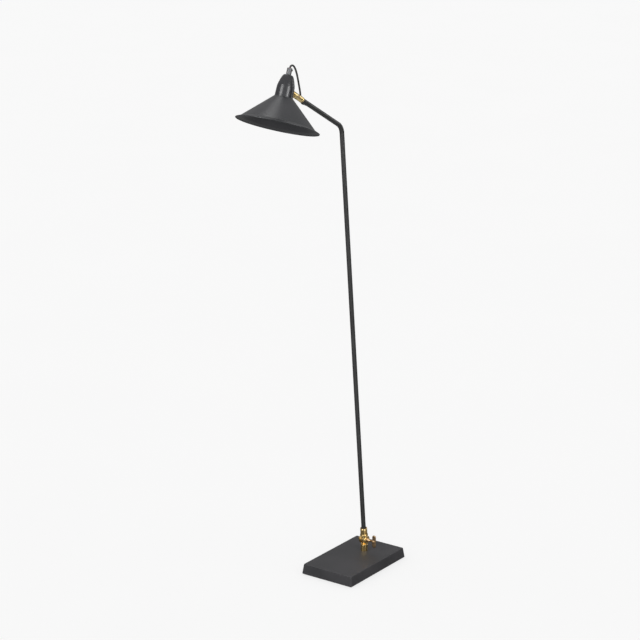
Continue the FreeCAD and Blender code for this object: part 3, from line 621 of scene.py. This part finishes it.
# ---------------------------------------------------------------- pole and arm
def pole_and_arm():
    bend_r = 34.0 * MM
    turn = POLE_DIR.angle(ARM_DIR)
    back = bend_r * math.tan(turn / 2)
    inward = (ARM_DIR - POLE_DIR).normalized()
    centre = BEND + inward * (bend_r / math.cos(turn / 2))
    start = BEND - POLE_DIR * back
    path = []
    foot = LOW_PIVOT + POLE_DIR * 23 * MM
    rows = 60
    for k in range(rows):
        path.append(foot.lerp(start, k / rows))
    spoke = start - centre
    hinge = spoke.cross(POLE_DIR).normalized()
    steps = 36
    for k in range(steps + 1):
        path.append(centre + Matrix.Rotation(turn * k / steps, 3, hinge) @ spoke)
    tip = TIP_PIVOT - ARM_DIR * (ARM_RING_AT - 13 * MM)
    last = path[-1]
    rows = 12
    for k in range(1, rows + 1):
        path.append(last.lerp(tip, k / rows))
    sweep("pole_and_arm", path, TUBE_R, 64, "arm", "tube_paint", "tube_paint", ["pole_tube"])


def grommet():
    turn = math.radians(82.0)
    below = X_AXIS.cross(ARM_DIR)
    if below.z > 0:
        below = -below
    out = below * math.cos(turn) - X_AXIS * math.sin(turn)
    foot = middle("arm_grommet")
    foot = TIP_PIVOT + ARM_DIR * (foot - TIP_PIVOT).dot(ARM_DIR)
    outline = profile((2.55, 5.0, 0), (3.3, 5.0, 0.1), (3.3, 5.9, 0.1), (4.5, 5.9, 0.4), (4.5, 7.9, 0.7),
                      (3.7, 8.0, 0.3), (3.35, 9.9, 0.4), (2.55, 9.9, 0.2))
    lathe("grommet_soft", outline, foot, out, "arm", "grey_rubber", "grey_rubber", segments=64,
          replaces=["arm_grommet"])


# ---------------------------------------------------------------- upper hinge
def halve(bar, along, side):
    """Cut the end of a round bar into half a lap about the upper pivot; side is +1 to keep the +X half.

    The other half goes as far back as the shoulder, and the half that stays ends in a round ear.
    """
    across = X_AXIS.cross(along).normalized()
    shoulder = 6.7 * MM
    clear = 30 * MM               # past any part of the bar
    steps = 32

    def prism(outline, low_x, high_x):
        return skin_of([[TIP_PIVOT + along * u + across * v + X_AXIS * x for u, v in outline]
                        for x in (low_x, high_x)])

    reach = math.asin(math.sqrt(1 - (shoulder / LAP_CLEAR_R) ** 2))
    gap = [(-shoulder, clear)]
    for k in range(steps + 1):
        angle = math.pi - reach + 2 * reach * k / steps
        gap.append((LAP_CLEAR_R * math.cos(angle), LAP_CLEAR_R * math.sin(angle)))
    gap += [(-shoulder, -clear), (clear, -clear), (clear, clear)]
    inner, outer = LAP_GAP / 2 * side, -clear * side
    cut_away(bar, *prism(gap, min(inner, outer), max(inner, outer)))

    past_ear = [(0, clear)]
    for k in range(steps + 1):
        angle = math.pi / 2 - math.pi * k / steps
        past_ear.append((TIP_R * math.cos(angle), TIP_R * math.sin(angle)))
    past_ear += [(0, -clear), (clear, -clear), (clear, clear)]
    cut_away(bar, *prism(past_ear, -clear, clear))

    bevel = bar.modifiers.new("edge", "BEVEL")
    bevel.width = 0.4 * MM
    bevel.segments = 3
    bevel.limit_method = "ANGLE"
    bevel.angle_limit = math.radians(38)
    bar.modifiers.move(1, 0)        # the bevel comes before the weighted normals


def upper_hinge():
    outline = profile((6.36, 0, 0), (7.55, 0, 0.5), (7.55, 2, 0.3), (6.36, 2, 0))
    edge = TIP_PIVOT - ARM_DIR * ARM_RING_AT
    # The ring at the arm's end is painted dark brown: painted shade where the tube meets the brass sleeve.
    lathe("arm_end_ring", outline, edge, ARM_DIR, "arm", "dark_ring", "dark_ring", replaces=["arm_ring"])
    tip = ARM_RING_AT + TIP_R
    outline = rounded([(6.36 * MM, 2 * MM), (7.25 * MM, 2 * MM), (TIP_R, 2.6 * MM), (TIP_R, 4.6 * MM),
                       (7.45 * MM, 5.1 * MM), (TIP_R, 5.6 * MM), (TIP_R, tip), (0.2 * MM, tip),
                       (0.2 * MM, 14 * MM), (6.36 * MM, 14 * MM)],
                      [0, 0.3 * MM, 0.3 * MM, 0.2 * MM, 0.2 * MM, 0.2 * MM, 0, 0, 0, 0])
    sleeve = lathe("arm_sleeve", outline, edge, ARM_DIR, "arm", "arm_brass", "lacquered_brass",
                   replaces=["arm_ferrule"])
    halve(sleeve, ARM_DIR, 1)
    cut_away(sleeve, *bar_mesh(TIP_PIVOT + X_AXIS * (TIP_R - SCREW_HEAD_DEEP), X_AXIS, SCREW_HEAD_R,
                               10 * MM, 48))

    length = PIVOT_TO_AXIS - 21.5 * MM          # to just inside the cap's wall
    outline = rounded([(0.2 * MM, -TIP_R), (TIP_R, -TIP_R), (TIP_R, 12.0 * MM), (7.55 * MM, 12.4 * MM),
                       (TIP_R, 12.8 * MM), (TIP_R, length), (0.2 * MM, length)],
                      [0, 0, 0.2 * MM, 0.2 * MM, 0.2 * MM, 0.1 * MM, 0])
    lug = lathe("lug_shank", outline, TIP_PIVOT, ARM_DIR, "head", "arm_brass", "lacquered_brass",
                replaces=["head_lug"])
    halve(lug, -ARM_DIR, -1)


# ---------------------------------------------------------------- head
def shade_and_cap():
    t = 1.0 * MM
    slope = math.atan2(68.0, 73.0)
    along_r, along_s = t * math.sin(slope), t * math.cos(slope)
    flare = math.atan2(5.0, 11.7)
    rim_r, lip_r, top_r, hole_r = 109.7 * MM, 98.0 * MM, 25.0 * MM, 17.2 * MM
    outer = [(hole_r, 73 * MM), (top_r, 73 * MM), (lip_r, 5 * MM), (rim_r - 1.3 * MM, 0.55 * MM)]
    bead = []
    bead_r = 1.3 * MM
    bead_centre = (rim_r - bead_r, -bead_r + t / 2)
    steps = 20
    for k in range(steps + 1):
        angle = math.radians(95 - 290 * k / steps)
        bead.append((bead_centre[0] + bead_r * math.cos(angle), bead_centre[1] + bead_r * math.sin(angle)))
    inner = [(rim_r - 3.2 * MM, 0.36 * MM + t * math.sin(flare) - t * math.cos(flare)),
             (lip_r - along_r, 5 * MM - along_s), (top_r - along_r, 72 * MM), (hole_r, 72 * MM)]
    outer_rounded = rounded(outer, [0, 2.2 * MM, 9 * MM, 0], 8)
    inner_rounded = rounded(inner, [0, 9 * MM, 1.4 * MM, 0], 8)
    lathe("shade_spun", outer_rounded + bead + inner_rounded, RIM_CENTRE, HEAD_DIR, "head", "shade_enamel",
          "shade_enamel", segments=256, replaces=["shade"])

    outline = profile((24.0, 73.05, 0.1), (24.0, 74.6, 0.5), (23.6, 75.2, 0.5), (23.0, 95.0, 30),
                      (22.75, 101.2, 0.2), (22.35, 101.8, 0.3), (22.5, 102.4, 0.3), (21.3, 108.0, 20),
                      (18.6, 117.0, 40), (15.2, 126.0, 12), (12.8, 129.6, 2.5), (11.0, 131.2, 1.2),
                      (5.1, 131.2, 0.1), (5.1, 130.0, 0), (10.6, 130.0, 0.8), (12.0, 128.6, 2),
                      (14.0, 125.2, 10), (17.4, 116.4, 30), (20.1, 107.6, 20), (21.5, 101.0, 30),
                      (21.9, 93.0, 30), (22.8, 73.05, 0), steps=6)
    lathe("cap_bell", outline, RIM_CENTRE, HEAD_DIR, "head", "gloss_black", "gloss_black", segments=160,
          replaces=["socket_cap"])


def strain_relief():
    outline = profile((5.1, 131.2, 0), (6.8, 131.2, 0.4), (6.8, 133.4, 0.3), (6.2, 133.9, 0.2),
                      (6.2, 134.5, 0.2), (6.8, 135.0, 0.3), (6.8, 148.6, 0.7), (6.0, 149.6, 0.4),
                      (5.0, 149.6, 0.6), (3.2, 146.4, 1.0), (2.6, 146.0, 0.2), (2.6, 139.0, 0),
                      (5.1, 139.0, 0))
    lathe("relief_body", outline, RIM_CENTRE, HEAD_DIR, "head", "smoke_nylon", "smoke_nylon",
          replaces=["strain_relief"])


def bulb():
    ball_s, ball_r, neck_r = 38.5 * MM, 22.5 * MM, 11.0 * MM
    outline = []
    steps = 40
    last = math.radians(52)
    for k in range(steps + 1):
        angle = -math.pi / 2 + (math.pi / 2 + last) * k / steps
        outline.append((max(0.05 * MM, ball_r * math.cos(angle)), ball_s + ball_r * math.sin(angle)))
    outline += [(12.2 * MM, 58.4 * MM), (11.2 * MM, 61.0 * MM), (neck_r, 63.5 * MM), (neck_r, 66 * MM),
                (0.05 * MM, 66 * MM)]
    lathe("bulb_envelope", outline, RIM_CENTRE, HEAD_DIR, "head", "opal_glass", "opal_glass", segments=96,
          replaces=["bulb_globe"])


# ---------------------------------------------------------------- cord
# The route's points: out of the strain relief, over the arch, down beside the hinge and in
# at the grommet.
CORD_ROUTE = [(0.0, -0.29874, 1.45775), (0.0, -0.29709, 1.46204), (-0.0020, -0.2910, 1.4655),
              (-0.0052, -0.2802, 1.4659), (-0.0092, -0.2678, 1.4614), (-0.0124, -0.2564, 1.4516),
              (-0.0150, -0.2464, 1.4360), (-0.0163, -0.2376, 1.4120), (-0.0174, -0.2306, 1.3915),
              (-0.0181, -0.2272, 1.3764), (-0.0183, -0.2254, 1.3668), (-0.0182, -0.2236, 1.3613),
              (-0.0164, -0.2224, 1.3586), (-0.01332, -0.22165, 1.35731), (-0.00985, -0.22142, 1.35774)]
CORD_D = 5.0 * MM


def cord_line():
    """The route as points read from its smooth curve."""
    curve = bpy.data.curves.new("cord_line", "CURVE")
    curve.dimensions = "3D"
    curve.resolution_u = 10
    spline = curve.splines.new("NURBS")
    spline.points.add(len(CORD_ROUTE) - 1)
    for point, place in zip(spline.points, CORD_ROUTE):
        point.co = (*place, 1.0)
    spline.order_u = 3
    spline.use_endpoint_u = True
    holder = bpy.data.objects.new("cord_line", curve)
    bpy.context.scene.collection.objects.link(holder)
    bpy.context.view_layer.update()
    mesh = bpy.data.meshes.new_from_object(holder)
    points = [v.co.copy() for v in mesh.vertices]
    bpy.data.objects.remove(holder)
    return points


def head_cord():
    path = cord_line()
    piece = sweep("head_flex", path, CORD_D / 2, 32, None, "cord_jacket", "cord_jacket", ["head_cord"])
    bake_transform(piece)


# ---------------------------------------------------------------- CAD nodes that stay
KEPT = {"base_cover": "zinc_steel", "cover_screws": "zinc_steel", "inlet_bush": "black_nylon",
        "stem_nipple": "zinc_steel", "stem_washer": "zinc_steel", "stem_nut": "zinc_steel",
        "ferrule_screw": "zinc_steel", "hinge_screw": "aged_brass", "lug_screw": "zinc_steel",
        "lampholder": "phenolic", "shade_ring": "phenolic", "screw_shell": "shell_metal",
        "centre_contact": "column_brass", "cap_nipple": "zinc_steel", "nipple_nut": "zinc_steel",
        "relief_screw": "dark_steel", "bulb_cap": "shell_metal"}


def dress_kept_nodes():
    for node, material in KEPT.items():
        data = NODES[node].data
        data.materials.clear()
        data.materials.append(MATERIALS[material])


# ---------------------------------------------------------------- stage, light and camera
def stage_piece(name, points, faces, albedo, glow):
    """A matt surface that glows evenly and neither lights the lamp nor shows in its gloss."""
    mesh = bpy.data.meshes.new(name)
    mesh.from_pydata(points, [], faces)
    piece = bpy.data.objects.new(name, mesh)
    bpy.context.scene.collection.objects.link(piece)
    paint = Paint(name)
    paint.colour(paint.blend(paint.noise(1.5), (albedo - 0.01,) * 3, (albedo + 0.01,) * 3))
    paint.fixed(Roughness=0.9, Specular_IOR_Level=0.1, Emission_Color=(1, 1, 1, 1), Emission_Strength=glow)
    mesh.materials.append(paint.material)
    piece.visible_glossy = False
    piece.visible_diffuse = False
    piece.visible_shadow = False
    return piece


def stage():
    """A pale floor with a faint contact shadow, and the same paleness all round above it."""
    size = 60.0
    floor = stage_piece("floor", [(-size, -size, 0), (size, -size, 0), (size, size, 0), (-size, size, 0)],
                        [(0, 1, 2, 3)], 0.35, 0.695)
    points, faces = bar_mesh(Vector((0, 0, -40)), Z_AXIS, size, 100, 48)
    stage_piece("backdrop", [tuple(p) for p in points], faces, 0.02, 0.93)
    return floor


def area_light(name, place, target, size_x, size_y, power, unlit):
    """A softbox that lights the lamp and leaves the floor alone."""
    light = bpy.data.lights.new(name, "AREA")
    light.shape = "RECTANGLE"
    light.size, light.size_y = size_x, size_y
    light.energy = power
    holder = bpy.data.objects.new(name, light)
    bpy.context.scene.collection.objects.link(holder)
    holder.location = place
    holder.rotation_euler = (Vector(target) - Vector(place)).to_track_quat("-Z", "Y").to_euler()
    holder.light_linking.receiver_collection = unlit


def lights(floor):
    """A dim studio, brighter overhead and in front, with softboxes left, right, behind and high up."""
    world = bpy.data.worlds.new("studio")
    bpy.context.scene.world = world
    world.use_nodes = True
    nodes, links = world.node_tree.nodes, world.node_tree.links
    direction = nodes.new("ShaderNodeTexCoord").outputs["Generated"]
    split = nodes.new("ShaderNodeSeparateXYZ")
    links.new(direction, split.inputs["Vector"])
    height = nodes.new("ShaderNodeMapRange")
    height.inputs["From Min"].default_value = -1.0
    links.new(split.outputs["Z"], height.inputs["Value"])
    ramp = nodes.new("ShaderNodeValToRGB")
    links.new(height.outputs["Result"], ramp.inputs["Fac"])
    # Height (0 straight down, 0.5 level, 1 straight up) and brightness.
    stops = ((0.0, 0.42), (0.36, 0.16), (0.5, 0.22), (0.635, 0.42), (1.0, 0.85))
    for k, (at, level) in enumerate(stops):
        stop = ramp.color_ramp.elements[k] if k < 2 else ramp.color_ramp.elements.new(at)
        stop.position = at
        stop.color = (level, level, level, 1)
    # A soft card in front of the lamp, on top of that.
    facing = nodes.new("ShaderNodeVectorMath")
    facing.operation = "DOT_PRODUCT"
    facing.inputs[1].default_value = (0.57, -0.80, -0.10)
    links.new(direction, facing.inputs[0])
    front = nodes.new("ShaderNodeMapRange")
    front.interpolation_type = "SMOOTHSTEP"
    front.inputs["From Min"].default_value = 0.35
    front.inputs["To Max"].default_value = 0.50
    links.new(facing.outputs["Value"], front.inputs["Value"])
    both = nodes.new("ShaderNodeMix")
    both.data_type, both.blend_type = "RGBA", "ADD"
    both.inputs["Factor"].default_value = 1.0
    links.new(ramp.outputs["Color"], both.inputs[6])
    links.new(front.outputs["Result"], both.inputs[7])
    links.new(both.outputs[2], nodes["Background"].inputs["Color"])

    unlit = bpy.data.collections.new("unlit")
    unlit.objects.link(floor)
    unlit.collection_objects[0].light_linking.link_state = "EXCLUDE"
    area_light("left_softbox", (-0.50, -2.65, 1.80), (0.0, -0.25, 1.0), 1.2, 2.1, 62, unlit)
    area_light("right_softbox", (2.36, -0.66, 1.75), (0.0, -0.25, 1.0), 0.9, 2.0, 40, unlit)
    area_light("back_softbox", (1.30, 2.30, 1.50), (0.0, -0.30, 1.2), 0.6, 1.4, 6, unlit)
    area_light("high_softbox", (-0.85, 0.65, 3.8), (0.0, -0.3, 1.2), 0.8, 0.8, 4.5, unlit)


def camera():
    azimuth, pitch, distance, lens = math.radians(35.6), math.radians(15.84), 5.4, 111.4
    aim = Vector((-0.049, -0.098, 0.743))
    level = Vector((-math.sin(azimuth), math.cos(azimuth), 0)) * math.cos(pitch)
    look = level - Z_AXIS * math.sin(pitch)
    data = bpy.data.cameras.new("camera")
    data.lens = lens
    data.sensor_width = 36.0
    holder = bpy.data.objects.new("camera", data)
    bpy.context.scene.collection.objects.link(holder)
    holder.location = aim - look * distance
    holder.rotation_euler = look.to_track_quat("-Z", "Y").to_euler()
    bpy.context.scene.camera = holder


camera()
head_cord()
base_pieces()
column_and_fork()
clamp_pieces()
pole_socket()
pole_and_arm()
grommet()
upper_hinge()
shade_and_cap()
strain_relief()
bulb()
dress_kept_nodes()
lights(stage())
bpy.context.scene.view_settings.view_transform = "Standard"
